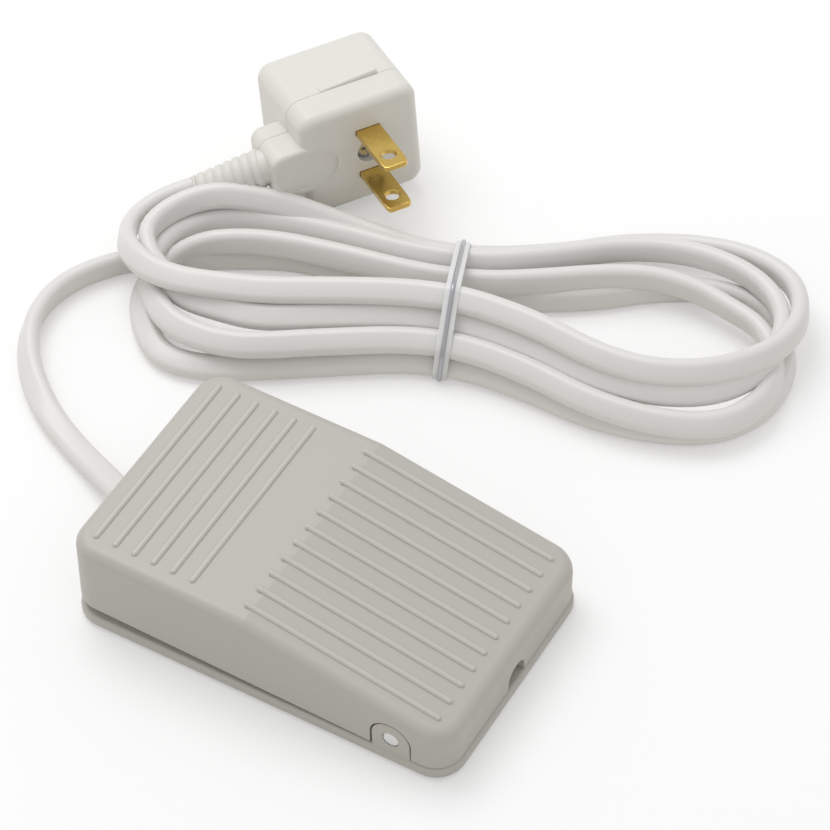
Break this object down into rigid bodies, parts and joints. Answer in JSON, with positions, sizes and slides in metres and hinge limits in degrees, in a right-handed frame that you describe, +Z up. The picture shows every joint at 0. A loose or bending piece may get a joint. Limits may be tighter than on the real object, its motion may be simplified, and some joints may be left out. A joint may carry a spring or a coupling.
{
  "type": "foot switch",
  "caption": "Rocking treadle foot switch with a sprung snap switch inside, flat mains cord tied in a hank and a two-pin tap plug.",
  "frame": {"origin": "bottom centre of the foot switch, on the surface it stands on", "axes": "+Y along the length towards the toe end where the cord leaves, +X to the right seen from the heel, +Z up"},
  "size_m": [0.1723, 0.1718, 0.0335],
  "materials": {
    "base_plastic": "moulded, fine satin grain",
    "treadle_plastic": "moulded, fine satin grain",
    "foot_rubber": "matt",
    "pin_steel": "polished",
    "spring_steel": "drawn wire",
    "switch_plastic": "moulded",
    "plunger_plastic": "moulded",
    "contact_brass": "bright",
    "screw_steel": "zinc plated",
    "core_sheath": "soft vinyl",
    "cord_sheath": "soft vinyl, satin sheen",
    "tie_plastic": "clear-white film over a wire",
    "plug_plastic": "moulded ivory, satin",
    "blade_brass": "bright, stamped"
  },
  "bodies": {
    "base": {"base_tray": "base_plastic", "rubber_feet": "foot_rubber", "hinge_pin": "pin_steel", "return_springs": "spring_steel", "switch_case": "switch_plastic", "switch_cover": "switch_plastic", "switch_terminals": "contact_brass", "switch_screws": "screw_steel", "spade_connectors": "contact_brass", "core_wires": "core_sheath", "cord_clamp": "base_plastic", "clamp_screws": "screw_steel", "cord_end": "cord_sheath", "cord_lead": "cord_sheath", "cord_hank": "cord_sheath", "cord_tail": "cord_sheath", "twist_tie": "tie_plastic", "plug_boot": "plug_plastic", "plug_front_shell": "plug_plastic", "plug_rear_shell": "plug_plastic", "plug_blades": "blade_brass", "plug_screw": "screw_steel", "socket_contacts": "contact_brass", "plug_leads": "core_sheath"},
    "treadle": {"pedal_cover": "treadle_plastic"},
    "plunger": {"switch_plunger": "plunger_plastic"}
  },
  "joints": [
    {"name": "treadle_hinge", "type": "hinge", "parent": "base", "child": "treadle", "pos_m": [0, -0.0344, 0.008], "axis": [1, 0, 0], "range_deg": [-2.05, 0], "stiffness_Nm_per_rad": 1.5, "springref_deg": 5.73, "deforming": ["return_springs"]},
    {"name": "plunger_slide", "type": "slide", "parent": "base", "child": "plunger", "axis": [0, 0, 1], "range_m": [-0.0019, 0]}
  ],
  "couplings": [
    {"joint": "plunger_slide", "follows": "treadle_hinge", "m_per_rad": 0.0524}
  ]
}
